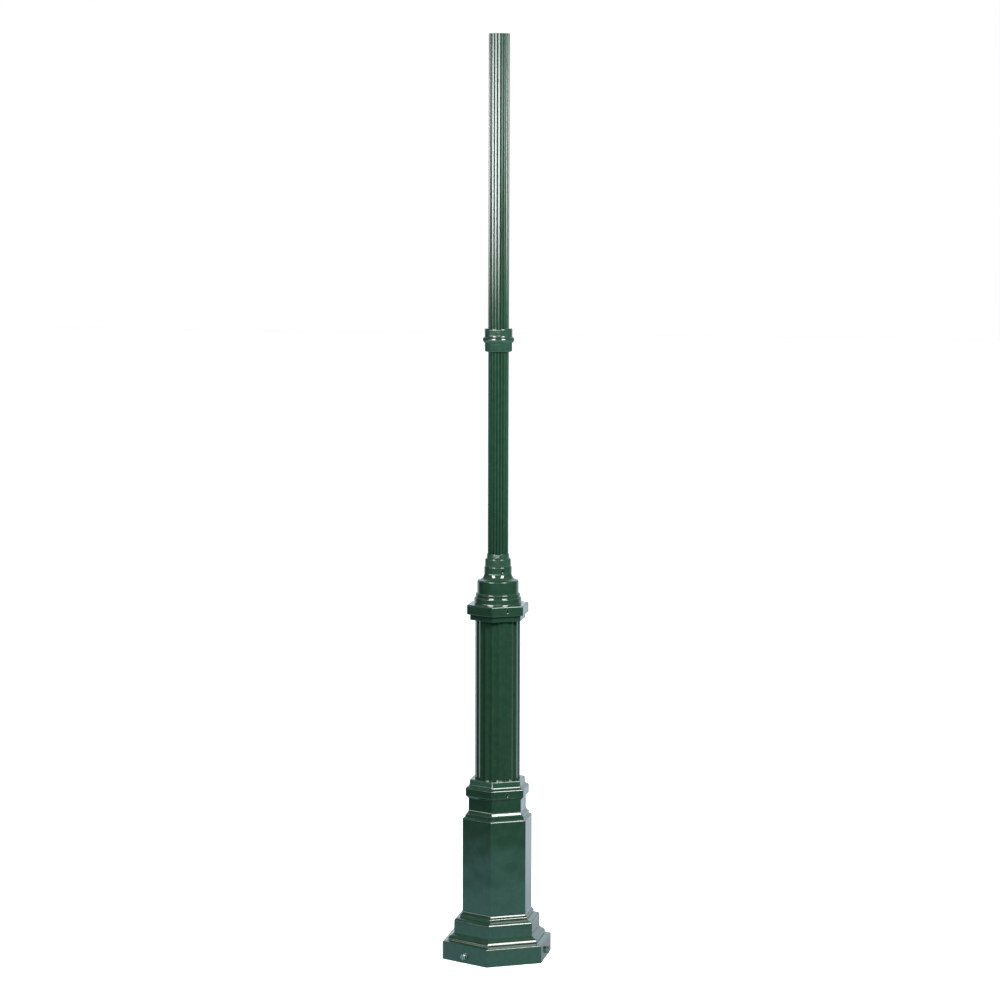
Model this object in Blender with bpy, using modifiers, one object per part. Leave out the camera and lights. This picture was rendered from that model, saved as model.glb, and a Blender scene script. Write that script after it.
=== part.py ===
"""A cast and extruded aluminium lamp post with a 60 mm top spigot, built as the separate pieces it is
bolted together from. Units are metres, +Z is up, and the origin is on the post's axis at the ground.
Compass words: the front is -Y, where one corner of the hexagonal castings points."""

from math import cos, pi, radians, sin

import bpy
import bmesh
from mathutils import Matrix

MM = 0.001
GAP = 0.3 * MM  # clearance left where two pieces touch

# Driving dimensions
POST_HEIGHT = 2680 * MM
SPIGOT_DIAMETER = 60 * MM
COLUMN_DIAMETER = 130.5 * MM
FOOT_FLATS = 292 * MM  # across the flats of the base's foot
STEP_FLATS = 230.5 * MM
SHAFT_FLATS = 186 * MM
NECK_FLATS = 154.5 * MM
COLLAR_FLATS = 170.5 * MM
RIM_FLATS = 148 * MM
FLANGE_FLATS = 165 * MM
SKIRT_FLATS = 148 * MM

# Heights of the base casting's mouldings
FOOT_TOP = 53 * MM
STEP_BOTTOM = 76 * MM
STEP_TOP = 117 * MM
SHAFT_BOTTOM = 139 * MM
SHAFT_TOP = 411 * MM
NECK_BOTTOM = 439 * MM
NECK_TOP = 472 * MM
COLLAR_BOTTOM = 478 * MM
COLLAR_TOP = 504 * MM
BASE_TOP = 527 * MM
BASE_WALL = 7 * MM

# Heights of the reducer casting's parts
SKIRT_BOTTOM = 995 * MM
FLANGE_BOTTOM = 1011.5 * MM
FLANGE_TOP = 1040 * MM
RING_TOP = 1059 * MM
STEP_RING_TOP = 1071 * MM
DRUM_TOP = 1109 * MM
NOSE_BOTTOM = 1129 * MM
NOSE_TOP = 1149.5 * MM
NOSE_BAND_TOP = 1172 * MM
REDUCER_TOP = 1185.5 * MM
RING_RADIUS = 68.7 * MM
STEP_RING_RADIUS = 64.8 * MM
DRUM_RADIUS = 60.2 * MM
NOSE_RADIUS = 40 * MM
NOSE_BAND_RADIUS = 37.5 * MM
NOSE_TIP_RADIUS = 32.3 * MM

# Sockets that the extrusions stand in
SOCKET_CLEARANCE = 0.5 * MM
COLUMN_BOTTOM = 375 * MM
COLUMN_TOP = 1044 * MM
COLUMN_SEAT_RADIUS = 52 * MM  # opening inside each ledge that an end of the column meets
TUBE_BOTTOM = 1078 * MM
TUBE_SEAT_RADIUS = 22 * MM
SEAT_THICKNESS = 9 * MM

# Extrusions
COLUMN_FLUTES = 20
COLUMN_FLUTE_DEPTH = 2.2 * MM
COLUMN_RIDGE = 1.4 * MM  # width of the land between two flutes
COLUMN_TURN = radians(13.2)  # of one ridge from the front
COLUMN_BORE = 58 * MM
TUBE_FLUTES = 20
TUBE_FLUTE_DEPTH = 4 * MM
TUBE_RIDGE = 4.8 * MM
TUBE_TURN = radians(10.2)
TUBE_BORE = 24 * MM
HOLLOW = 2  # bow of a flute's section: 2 is a hollow, 1 is a V
GROOVE = 1

# Joint between the two tubes
JOINT_HEIGHT = 1805 * MM
JOINT_BAND_RADIUS = 40.1 * MM
JOINT_BEAD_RADIUS = 46.1 * MM
JOINT_HALF_HEIGHT = 33.5 * MM
JOINT_BEAD_HALF_HEIGHT = 9.5 * MM
SLEEVE_HALF_LENGTH = 80 * MM
SLEEVE_WALL = 3 * MM
JOINT_SCREW_OFFSET = 18 * MM
JOINT_HEAD_DEPTH = 2.1 * MM

# Screws. Faces are named by the angle of their normal from the front, growing towards +X
SET_SCREW_ANGLES = (radians(30), radians(150), radians(270))
FOOT_BOLT_ANGLES = (radians(-30), radians(90), radians(210))
BACK_ANGLE = radians(150)
SET_SCREW_RADIUS = 4 * MM  # M8
SET_SCREW_SOCKET = 2.3 * MM
COLLAR_SCREW_RADIUS = 3 * MM  # M6
COLLAR_SCREW_SOCKET = 1.7 * MM
SCREW_RECESS = 1 * MM
BASE_SCREW_HEIGHT = 489.5 * MM
FLANGE_SCREW_HEIGHT = 1025.5 * MM
NOSE_SCREW_HEIGHT = 1138.5 * MM
COLLAR_SCREW_HEIGHT = JOINT_HEIGHT - 22 * MM
FOOT_BOLT_HEIGHT = 20.5 * MM
BOLT_RADIUS = 5 * MM  # M10
BOLT_HEAD_FLATS = 17 * MM
BOLT_HEAD_HEIGHT = 6.4 * MM
BOLT_LENGTH = 30 * MM
WASHER_RADIUS = 10 * MM
WASHER_THICKNESS = 2 * MM
NUT_HEIGHT = 8 * MM

# Foot plate and earth terminal
PLATE_FLATS = FOOT_FLATS - 2 * BASE_WALL - 4 * MM
PLATE_THICKNESS = 10 * MM
LUG_THICKNESS = 6 * MM
LUG_WIDTH = 60 * MM
LUG_HEIGHT = 42 * MM
CABLE_HOLE_RADIUS = 55 * MM
ANCHOR_CIRCLE = 98 * MM
ANCHOR_SLOT_WIDTH = 16 * MM
ANCHOR_SLOT_LENGTH = 34 * MM
EARTH_CIRCLE = 78 * MM
EARTH_RADIUS = 4 * MM  # M8
EARTH_FLATS = 13 * MM
EARTH_LENGTH = 34 * MM

ROUND_STEPS = 36
SMALL_STEPS = 16
HALF_PITCH = pi / 6
FULL_TURN = 2 * pi

for leftover in list(bpy.data.objects):
    bpy.data.objects.remove(leftover)

parts = bpy.data.collections.new("street_lamp_post")
cutters = bpy.data.collections.new("cutters")
cutters.hide_render = True
for collection in (parts, cutters):
    bpy.context.scene.collection.children.link(collection)


def material(name, colour, roughness, metallic):
    made = bpy.data.materials.new(name)
    made.use_nodes = True
    shader = made.node_tree.nodes["Principled BSDF"]
    shader.inputs["Base Color"].default_value = (*colour, 1)
    shader.inputs["Roughness"].default_value = roughness
    shader.inputs["Metallic"].default_value = metallic
    return made


GREEN_PAINT = material("green_powder_coat", (0.022, 0.075, 0.045), 0.3, 0.0)
WEATHERED_STEEL = material("weathered_steel", (0.13, 0.17, 0.16), 0.35, 1.0)
GALVANISED = material("galvanised_steel", (0.48, 0.5, 0.52), 0.45, 1.0)
STAINLESS = material("stainless_steel", (0.56, 0.57, 0.58), 0.3, 1.0)
BARE_ALUMINIUM = material("bare_aluminium", (0.7, 0.71, 0.72), 0.4, 1.0)
BRASS = material("brass", (0.72, 0.52, 0.2), 0.3, 1.0)


def place(name, data, finish):
    """An object for a mesh or curve: a part where it has a finish, a cutter where it has none."""
    made = bpy.data.objects.new(name, data)
    if finish:
        data.materials.append(finish)
        parts.objects.link(made)
    else:
        made.hide_render = True
        made.display_type = "WIRE"
        cutters.objects.link(made)
    return made


def arc(centre, radius, start, end, steps):
    """Points of a circular arc in the profile's plane, with its angles in degrees."""
    angles = [radians(start + (end - start) * i / steps) for i in range(steps + 1)]
    return [(centre[0] + radius * cos(a), centre[1] + radius * sin(a)) for a in angles]


def rounded(corner, radius, outward_start, steps=3):
    """A quarter-round outer corner of a profile read downwards: 90 rounds a top edge, 0 a bottom one."""
    inward = corner[0] - radius
    level = corner[1] - radius if outward_start == 90 else corner[1] + radius
    return arc((inward, level), radius, outward_start, outward_start - 90, steps)


def cove(outer, inner, steps=4):
    """A hollow quarter ellipse that leaves the inner, upper point downwards and meets the outer one flat."""
    points = []
    for i in range(steps + 1):
        angle = pi / 2 * i / steps
        across = outer[0] - (outer[0] - inner[0]) * cos(angle)
        points.append((across, inner[1] - (inner[1] - outer[1]) * sin(angle)))
    return points


def turned(name, profile, steps, finish=None, turn=0.0):
    """A closed profile of (distance from the axis, height), read down its outer side, turned round Z."""
    mesh = bpy.data.meshes.new(name)
    count = len(profile)
    edges = [(i, (i + 1) % count) for i in range(count)]
    mesh.from_pydata([(r, 0, z) for r, z in profile], edges, [])
    made = place(name, mesh, finish)
    made.rotation_euler.z = turn
    screw = made.modifiers.new("turn", "SCREW")
    screw.steps = screw.render_steps = steps
    screw.use_merge_vertices = True
    screw.merge_threshold = 0.01 * MM
    screw.use_smooth_shade = False
    return made


def hexagonal(name, profile, finish):
    """As turned, for a hexagon: distances run to the flats, and one corner points to the front."""
    corners = [(flat / cos(HALF_PITCH), z) for flat, z in profile]
    return turned(name, corners, 6, finish, turn=HALF_PITCH)


def cut(target, cutter, operation="DIFFERENCE"):
    boolean = target.modifiers.new(cutter.name, "BOOLEAN")
    boolean.operation = operation
    boolean.object = cutter


def facing(angle, height):
    """The frame of a screw driven towards the axis: local +Z points outwards from the axis at this angle."""
    return (
        Matrix.Translation((0, 0, height))
        @ Matrix.Rotation(angle - pi / 2, 4, "Z")
        @ Matrix.Rotation(pi / 2, 4, "Y")
    )


def add_rod(shape, matrix, radius, low, high, steps):
    """Adds a cylinder along local Z, from low to high, to a bmesh."""
    bmesh.ops.create_cone(
        shape,
        cap_ends=True,
        segments=steps,
        radius1=radius,
        radius2=radius,
        depth=high - low,
        matrix=matrix @ Matrix.Translation((0, 0, (low + high) / 2)),
    )


def rods(name, matrices, radius, low, high, steps=SMALL_STEPS, finish=None):
    shape = bmesh.new()
    for matrix in matrices:
        add_rod(shape, matrix, radius, low, high, steps)
    mesh = bpy.data.meshes.new(name)
    shape.to_mesh(mesh)
    shape.free()
    return place(name, mesh, finish)


def spline(curve, points):
    line = curve.splines.new("POLY")
    line.points.add(len(points) - 1)
    for point, (x, y) in zip(line.points, points):
        point.co = (x, y, 0, 1)
    line.use_cyclic_u = True


def extruded(name, outlines, low, high, finish=None):
    """A mesh prism: the first outline's area less the others', between two heights."""
    curve = bpy.data.curves.new(name, "CURVE")
    curve.dimensions = "2D"
    curve.fill_mode = "BOTH"
    curve.extrude = (high - low) / 2
    for outline in outlines:
        spline(curve, outline)
    guide = bpy.data.objects.new(name + "_outline", curve)
    cutters.objects.link(guide)
    guide.location.z = (low + high) / 2
    bpy.context.view_layer.update()
    graph = bpy.context.evaluated_depsgraph_get()
    mesh = bpy.data.meshes.new_from_object(guide.evaluated_get(graph))
    shape = bmesh.new()
    shape.from_mesh(mesh)
    bmesh.ops.remove_doubles(shape, verts=shape.verts, dist=0.001 * MM)
    shape.to_mesh(mesh)
    shape.free()
    mesh.materials.clear()
    made = place(name, mesh, finish)
    made.matrix_world = guide.matrix_world.copy()
    bpy.data.objects.remove(guide)
    return made


def circle(radius, steps, turn=0.0, centre=(0, 0)):
    angles = [turn + FULL_TURN * i / steps for i in range(steps)]
    return [(centre[0] + radius * cos(a), centre[1] + radius * sin(a)) for a in angles]


def fluted(radius, depth, ridge, bow, count, turn, steps):
    """A ring of flutes between flat lands, with a land's middle turned from the front."""
    pitch = FULL_TURN / count
    half_land = ridge / radius / 2
    half_flute = pitch / 2 - half_land
    points = []
    for flute in range(count):
        middle = turn - pi / 2 + pitch * (flute + 0.5)
        for step in range(steps + 1):
            across = 2 * step / steps - 1
            reach = radius - depth * (1 - abs(across) ** bow)
            angle = middle + half_flute * across
            points.append((reach * cos(angle), reach * sin(angle)))
    return points


def smooth(target, angle=35):
    """Smooth shading on the faces of a mesh that keeps every edge sharper than the angle."""
    target.data.shade_smooth()
    target.data.set_sharp_from_angle(angle=radians(angle))


def base_casting():
    """Hollow hexagonal casting. Its profile gives half the width across the flats at each height."""
    foot = FOOT_FLATS / 2
    step = STEP_FLATS / 2
    shaft = SHAFT_FLATS / 2
    neck = NECK_FLATS / 2
    collar = COLLAR_FLATS / 2
    rim = RIM_FLATS / 2
    ovolo = 131 * MM
    ovolo_height = 16 * MM
    bead = 99.5 * MM
    shoulder = 86 * MM
    outer = [
        *rounded((rim, BASE_TOP), 2 * MM, 90),
        *cove((rim + 6 * MM, COLLAR_TOP + 1.5 * MM), (rim + 1 * MM, COLLAR_TOP + 7 * MM)),
        *rounded((collar, COLLAR_TOP), 4 * MM, 90),
        *rounded((collar, COLLAR_BOTTOM), 2 * MM, 0),
        (neck, NECK_TOP),
        *cove((shoulder, NECK_BOTTOM - 15 * MM), (neck, NECK_BOTTOM)),
        (shoulder, SHAFT_TOP + 6 * MM),
        *rounded((shaft, SHAFT_TOP + 4 * MM), 4 * MM, 90),
        *cove((bead - 3 * MM, SHAFT_BOTTOM - 8 * MM), (shaft, SHAFT_BOTTOM)),
        *rounded((bead, SHAFT_BOTTOM - 9 * MM), 4 * MM, 90),
        (bead, STEP_TOP + 3 * MM),
        *rounded((step, STEP_TOP + 1 * MM), 7 * MM, 90),
        (step, STEP_BOTTOM),
        (ovolo - ovolo_height + 3 * MM, STEP_BOTTOM - 2 * MM),
        *arc((ovolo - 13 * MM, FOOT_TOP + 5 * MM), 13 * MM, 80, 0, 4),
        (ovolo, FOOT_TOP + 2 * MM),
        *rounded((foot, FOOT_TOP), 3 * MM, 90),
        (foot, 0),
    ]
    inner = [
        (foot - BASE_WALL, 0),
        (foot - BASE_WALL, FOOT_TOP - BASE_WALL),
        (ovolo - BASE_WALL, FOOT_TOP - 3 * MM),
        (step - BASE_WALL, STEP_BOTTOM - 5 * MM),
        (step - BASE_WALL, STEP_TOP - BASE_WALL),
        (shaft - BASE_WALL, SHAFT_BOTTOM - 15 * MM),
        (shaft - BASE_WALL, COLUMN_BOTTOM - SEAT_THICKNESS - 8 * MM),
        (COLUMN_SEAT_RADIUS, COLUMN_BOTTOM - SEAT_THICKNESS),
        (COLUMN_SEAT_RADIUS, BASE_TOP),
    ]
    casting = hexagonal("base_casting", outer + inner, GREEN_PAINT)
    socket = rods(
        "column_socket",
        [Matrix.Identity(4)],
        COLUMN_DIAMETER / 2 + SOCKET_CLEARANCE,
        COLUMN_BOTTOM,
        BASE_TOP + SEAT_THICKNESS,
        ROUND_STEPS,
    )
    cut(casting, socket)
    taps = [facing(angle, BASE_SCREW_HEIGHT) for angle in SET_SCREW_ANGLES]
    reach = (COLUMN_SEAT_RADIUS, collar + SEAT_THICKNESS)
    cut(casting, rods("base_taps", taps, SET_SCREW_RADIUS + GAP, *reach))
    holes = [facing(angle, FOOT_BOLT_HEIGHT) for angle in FOOT_BOLT_ANGLES]
    reach = (foot - 2 * BASE_WALL, foot + BASE_WALL)
    cut(casting, rods("foot_bolt_holes", holes, BOLT_RADIUS + GAP, *reach))


def foot_plate():
    """Hexagonal plate with a cable hole, anchor slots and an upturned lug behind every second face."""
    half = PLATE_FLATS / 2
    outlines = [circle(half / cos(HALF_PITCH), 6, HALF_PITCH), circle(CABLE_HOLE_RADIUS, ROUND_STEPS)]
    for angle in SET_SCREW_ANGLES:
        outlines.append(anchor_slot(angle - pi / 2))
    plate = extruded("foot_plate", outlines, 0, PLATE_THICKNESS, GALVANISED)
    shape = bmesh.new()
    for angle in FOOT_BOLT_ANGLES:
        turn = Matrix.Rotation(angle - pi / 2, 4, "Z")
        centre = Matrix.Translation((half - LUG_THICKNESS / 2 - GAP, 0, LUG_HEIGHT / 2 + GAP))
        size = Matrix.Diagonal((LUG_THICKNESS, LUG_WIDTH, LUG_HEIGHT, 1))
        bmesh.ops.create_cube(shape, size=1, matrix=turn @ centre @ size)
    mesh = bpy.data.meshes.new("lugs")
    shape.to_mesh(mesh)
    shape.free()
    cut(plate, place("lugs", mesh, None), "UNION")
    holes = [facing(angle, FOOT_BOLT_HEIGHT) for angle in FOOT_BOLT_ANGLES]
    reach = (half - 3 * LUG_THICKNESS, half + LUG_THICKNESS)
    cut(plate, rods("lug_holes", holes, BOLT_RADIUS + GAP, *reach))


def anchor_slot(angle):
    """A round-ended slot that runs across the direction at this angle."""
    straight = ANCHOR_SLOT_LENGTH - ANCHOR_SLOT_WIDTH
    radius = ANCHOR_SLOT_WIDTH / 2
    points = []
    for side in (1, -1):
        for step in range(9):
            a = pi * step / 8
            u = ANCHOR_CIRCLE + side * radius * cos(a)
            v = side * (straight / 2 + radius * sin(a))
            points.append((u * cos(angle) - v * sin(angle), u * sin(angle) + v * cos(angle)))
    return points


def lower_column():
    radius = COLUMN_DIAMETER / 2
    outline = fluted(
        radius, COLUMN_FLUTE_DEPTH, COLUMN_RIDGE, HOLLOW, COLUMN_FLUTES, COLUMN_TURN, 6
    )
    column = extruded(
        "lower_column",
        [outline, circle(COLUMN_BORE, ROUND_STEPS)],
        COLUMN_BOTTOM + GAP,
        COLUMN_TOP - GAP,
        GREEN_PAINT,
    )
    smooth(column)


def reducer_casting():
    """Casting that steps from the column up to the tube: a hexagonal foot joined to a turned body."""
    flange = FLANGE_FLATS / 2
    skirt = SKIRT_FLATS / 2
    core = TUBE_SEAT_RADIUS / 2
    foot = [
        *rounded((flange, FLANGE_TOP), 3 * MM, 90),
        *rounded((flange, FLANGE_BOTTOM), 1.5 * MM, 0, 2),
        (skirt, FLANGE_BOTTOM - 1 * MM),
        (skirt, SKIRT_BOTTOM),
        (core, SKIRT_BOTTOM),
        (core, FLANGE_TOP),
    ]
    casting = hexagonal("reducer_casting", foot, GREEN_PAINT)
    body = [
        *rounded((NOSE_TIP_RADIUS, REDUCER_TOP), 1.2 * MM, 90, 2),
        (NOSE_TIP_RADIUS + 0.4 * MM, NOSE_BAND_TOP + 2 * MM),
        *rounded((NOSE_BAND_RADIUS, NOSE_BAND_TOP), 2.5 * MM, 90),
        (NOSE_BAND_RADIUS + 0.5 * MM, NOSE_TOP + 3 * MM),
        *rounded((NOSE_RADIUS, NOSE_TOP), 2 * MM, 90),
        *cove((DRUM_RADIUS - 4 * MM, DRUM_TOP + 1 * MM), (NOSE_RADIUS, NOSE_BOTTOM)),
        *rounded((DRUM_RADIUS, DRUM_TOP), 3 * MM, 90),
        (DRUM_RADIUS, STEP_RING_TOP + 2 * MM),
        *rounded((STEP_RING_RADIUS, STEP_RING_TOP), 3 * MM, 90),
        (STEP_RING_RADIUS, RING_TOP + 2 * MM),
        *rounded((RING_RADIUS, RING_TOP), 3 * MM, 90),
        (RING_RADIUS, FLANGE_TOP + 4 * MM),
        (RING_RADIUS + 2 * MM, FLANGE_TOP - 1 * MM),
        (core, FLANGE_TOP - 1 * MM),
        (core, REDUCER_TOP),
    ]
    cut(casting, turned("reducer_body", body, ROUND_STEPS), "UNION")
    tube_socket = SPIGOT_DIAMETER / 2 + SOCKET_CLEARANCE
    column_socket = COLUMN_DIAMETER / 2 + SOCKET_CLEARANCE
    passage = [
        (0, REDUCER_TOP + SEAT_THICKNESS),
        (tube_socket, REDUCER_TOP + SEAT_THICKNESS),
        (tube_socket, TUBE_BOTTOM),
        (TUBE_SEAT_RADIUS, TUBE_BOTTOM),
        (TUBE_SEAT_RADIUS, TUBE_BOTTOM - SEAT_THICKNESS),
        (COLUMN_SEAT_RADIUS, COLUMN_TOP + SEAT_THICKNESS),
        (COLUMN_SEAT_RADIUS, COLUMN_TOP),
        (column_socket, COLUMN_TOP),
        (column_socket, SKIRT_BOTTOM - SEAT_THICKNESS),
        (0, SKIRT_BOTTOM - SEAT_THICKNESS),
    ]
    cut(casting, turned("reducer_passage", passage, ROUND_STEPS))
    taps = [facing(angle, FLANGE_SCREW_HEIGHT) for angle in SET_SCREW_ANGLES]
    reach = (COLUMN_SEAT_RADIUS, flange + SEAT_THICKNESS)
    cut(casting, rods("flange_taps", taps, SET_SCREW_RADIUS + GAP, *reach))
    taps = [facing(angle, NOSE_SCREW_HEIGHT) for angle in SET_SCREW_ANGLES]
    reach = (TUBE_SEAT_RADIUS, NOSE_RADIUS + SEAT_THICKNESS)
    cut(casting, rods("nose_taps", taps, SET_SCREW_RADIUS + GAP, *reach))


def tube(name, low, high, screw_height):
    """A grooved 60 mm tube, drilled and countersunk at one height for its joint screw."""
    radius = SPIGOT_DIAMETER / 2
    outline = fluted(radius, TUBE_FLUTE_DEPTH, TUBE_RIDGE, GROOVE, TUBE_FLUTES, TUBE_TURN, 2)
    made = extruded(name, [outline, circle(TUBE_BORE, ROUND_STEPS)], low, high, GREEN_PAINT)
    smooth(made)
    cut(made, joint_screw_shape(name + "_screw_hole", screw_height, GAP))


def joint_screw_shape(name, height, clearance, finish=None):
    """A countersunk screw through a tube and the sleeve, its head just under the tube's lands."""
    head = 5 * MM + clearance
    shank = 2.5 * MM + clearance
    top = SPIGOT_DIAMETER / 2 - JOINT_HEAD_DEPTH
    cap = top + (5 * MM if clearance else 0)
    tip = TUBE_BORE - SLEEVE_WALL - (3 * MM if clearance else 1 * MM)
    taper = top - 2.4 * MM - clearance
    profile = [(0, cap), (head, cap), (head, top - clearance), (shank, taper), (shank, tip), (0, tip)]
    screw = turned(name, profile, SMALL_STEPS, finish)
    screw.matrix_world = facing(BACK_ANGLE, height)
    return screw


def joint_sleeve():
    outer = TUBE_BORE - GAP
    inner = outer - SLEEVE_WALL
    low = JOINT_HEIGHT - SLEEVE_HALF_LENGTH
    high = JOINT_HEIGHT + SLEEVE_HALF_LENGTH
    profile = [(outer, high), (outer, low), (inner, low), (inner, high)]
    sleeve = turned("joint_sleeve", profile, ROUND_STEPS, BARE_ALUMINIUM)
    holes = [
        facing(BACK_ANGLE, JOINT_HEIGHT + side * JOINT_SCREW_OFFSET) for side in (-1, 1)
    ]
    reach = (inner - SLEEVE_WALL, outer + SLEEVE_WALL)
    cut(sleeve, rods("sleeve_holes", holes, 2.5 * MM + GAP, *reach))


def joint_collar():
    """Round cover ring with a half-round bead between two plain bands."""
    bore = SPIGOT_DIAMETER / 2 + GAP
    top = JOINT_HEIGHT + JOINT_HALF_HEIGHT
    bottom = JOINT_HEIGHT - JOINT_HALF_HEIGHT
    half = JOINT_BEAD_HALF_HEIGHT
    bead_height = JOINT_HEIGHT + 1 * MM
    bead_centre = (JOINT_BEAD_RADIUS - half, bead_height)
    profile = [
        *rounded((JOINT_BAND_RADIUS, top), 2 * MM, 90),
        (JOINT_BAND_RADIUS, bead_height + half),
        *arc(bead_centre, half, 65, -65, 8),
        (JOINT_BAND_RADIUS, bead_height - half),
        *rounded((JOINT_BAND_RADIUS, bottom), 4 * MM, 0),
        (bore, bottom),
        (bore, top),
    ]
    collar = turned("joint_collar", profile, ROUND_STEPS, GREEN_PAINT)
    tap = [facing(BACK_ANGLE, COLLAR_SCREW_HEIGHT)]
    reach = (TUBE_BORE, JOINT_BEAD_RADIUS)
    cut(collar, rods("collar_tap", tap, COLLAR_SCREW_RADIUS + GAP, *reach))


def set_screw(name, angle, height, radius, socket, tip, face):
    """A headless screw with a hexagon socket, sunk a little below the face it is driven through."""
    frame = facing(angle, height)
    head = face - SCREW_RECESS
    screw = rods(name, [frame], radius, tip, head, SMALL_STEPS, STAINLESS)
    key = rods(name + "_socket", [frame], socket, head - radius, head + radius, 6)
    cut(screw, key)


def set_screws():
    column_tip = COLUMN_DIAMETER / 2 + GAP
    tube_tip = SPIGOT_DIAMETER / 2 + GAP
    sets = (
        ("base_set_screw", BASE_SCREW_HEIGHT, column_tip, COLLAR_FLATS / 2),
        ("flange_set_screw", FLANGE_SCREW_HEIGHT, column_tip, FLANGE_FLATS / 2),
        ("neck_set_screw", NOSE_SCREW_HEIGHT, tube_tip, NOSE_RADIUS),
    )
    for name, height, tip, face in sets:
        for number, angle in enumerate(SET_SCREW_ANGLES, 1):
            sizes = (SET_SCREW_RADIUS, SET_SCREW_SOCKET, tip, face)
            set_screw(f"{name}_{number}", angle, height, *sizes)
    sizes = (COLLAR_SCREW_RADIUS, COLLAR_SCREW_SOCKET, tube_tip + GAP, JOINT_BAND_RADIUS)
    set_screw("collar_set_screw", BACK_ANGLE, COLLAR_SCREW_HEIGHT, *sizes)


def hex_nut(name, frame, flats, hole, low, high, finish):
    """A hexagon nut from low to high along the frame's Z, with a clearance hole."""
    nut = rods(name, [frame], flats / 2 / cos(HALF_PITCH), low, high, 6, finish)
    cut(nut, rods(name + "_hole", [frame], hole, low - flats, high + flats))


def ring(name, frame, outer, hole, low, high, finish):
    """A flat washer from low to high along the frame's Z."""
    washer = rods(name, [frame], outer, low, high, SMALL_STEPS, finish)
    cut(washer, rods(name + "_hole", [frame], hole, low - outer, high + outer))


def foot_bolts():
    """Hexagon-headed bolts through the foot band and the lugs, with a washer and a nut on each."""
    face = FOOT_FLATS / 2
    head_low = face + WASHER_THICKNESS + 2 * GAP
    nut_high = PLATE_FLATS / 2 - LUG_THICKNESS - 2 * GAP
    for number, angle in enumerate(FOOT_BOLT_ANGLES, 1):
        frame = facing(angle, FOOT_BOLT_HEIGHT)
        bolt = rods(
            f"foot_bolt_{number}",
            [frame],
            BOLT_RADIUS,
            head_low - BOLT_LENGTH,
            head_low + 1 * MM,
            SMALL_STEPS,
            WEATHERED_STEEL,
        )
        corner = BOLT_HEAD_FLATS / 2 / cos(HALF_PITCH)
        high = head_low + BOLT_HEAD_HEIGHT
        cut(bolt, rods(f"foot_bolt_head_{number}", [frame], corner, head_low, high, 6), "UNION")
        ring(
            f"foot_bolt_washer_{number}",
            frame,
            WASHER_RADIUS,
            BOLT_RADIUS + GAP,
            face + GAP,
            face + GAP + WASHER_THICKNESS,
            WEATHERED_STEEL,
        )
        hex_nut(
            f"foot_bolt_nut_{number}",
            frame,
            BOLT_HEAD_FLATS,
            BOLT_RADIUS + GAP,
            nut_high - NUT_HEIGHT,
            nut_high,
            GALVANISED,
        )


def earth_terminal():
    """A stud on the foot plate with a nut, a washer and a locking nut for the earth wire."""
    angle = -pi / 2
    frame = Matrix.Translation((EARTH_CIRCLE * cos(angle), EARTH_CIRCLE * sin(angle), 0))
    hole = EARTH_RADIUS + GAP
    foot = PLATE_THICKNESS + GAP
    rods("earth_stud", [frame], EARTH_RADIUS, foot, foot + EARTH_LENGTH, SMALL_STEPS, BRASS)
    nut = 6.5 * MM
    low = foot + GAP
    hex_nut("earth_nut", frame, EARTH_FLATS, hole, low, low + nut, BRASS)
    low += nut + GAP
    ring("earth_washer", frame, 2 * EARTH_RADIUS, hole, low, low + 1.6 * MM, BRASS)
    low += 1.6 * MM + 4 * MM
    hex_nut("earth_lock_nut", frame, EARTH_FLATS, hole, low, low + nut, BRASS)


base_casting()
foot_plate()
lower_column()
reducer_casting()
tube("lower_tube", TUBE_BOTTOM + GAP, JOINT_HEIGHT - GAP, JOINT_HEIGHT - JOINT_SCREW_OFFSET)
tube("upper_tube", JOINT_HEIGHT + GAP, POST_HEIGHT, JOINT_HEIGHT + JOINT_SCREW_OFFSET)
joint_sleeve()
for word, side in (("lower", -1), ("upper", 1)):
    height = JOINT_HEIGHT + side * JOINT_SCREW_OFFSET
    joint_screw_shape(f"joint_screw_{word}", height, 0, STAINLESS)
joint_collar()
set_screws()
foot_bolts()
earth_terminal()
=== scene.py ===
"""The looks of a cast and extruded aluminium lamp post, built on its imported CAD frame.
Units are metres. Angles of faces and screws count from the front, -Y, and grow towards +X."""

from math import cos, pi, radians, sin, tan

import bmesh
import bpy
from mathutils import Matrix, Vector

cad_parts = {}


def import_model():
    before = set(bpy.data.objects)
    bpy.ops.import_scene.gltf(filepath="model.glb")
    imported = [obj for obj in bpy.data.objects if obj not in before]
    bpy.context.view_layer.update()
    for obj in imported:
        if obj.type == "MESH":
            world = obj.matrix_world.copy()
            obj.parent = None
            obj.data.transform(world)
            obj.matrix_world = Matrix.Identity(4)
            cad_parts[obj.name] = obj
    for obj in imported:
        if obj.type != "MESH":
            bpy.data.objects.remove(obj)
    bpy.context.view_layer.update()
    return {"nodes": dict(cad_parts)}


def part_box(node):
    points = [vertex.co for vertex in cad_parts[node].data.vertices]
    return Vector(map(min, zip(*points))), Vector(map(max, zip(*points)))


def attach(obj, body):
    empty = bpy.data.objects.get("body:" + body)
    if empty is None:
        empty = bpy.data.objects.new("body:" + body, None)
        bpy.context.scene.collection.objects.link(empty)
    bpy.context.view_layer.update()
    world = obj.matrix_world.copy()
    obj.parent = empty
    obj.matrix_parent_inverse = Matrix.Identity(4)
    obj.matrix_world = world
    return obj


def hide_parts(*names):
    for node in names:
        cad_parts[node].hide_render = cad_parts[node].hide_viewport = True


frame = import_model()

MM = 0.001
GAP = 0.3 * MM
HALF_PITCH = pi / 6
FULL_TURN = 2 * pi

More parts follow.
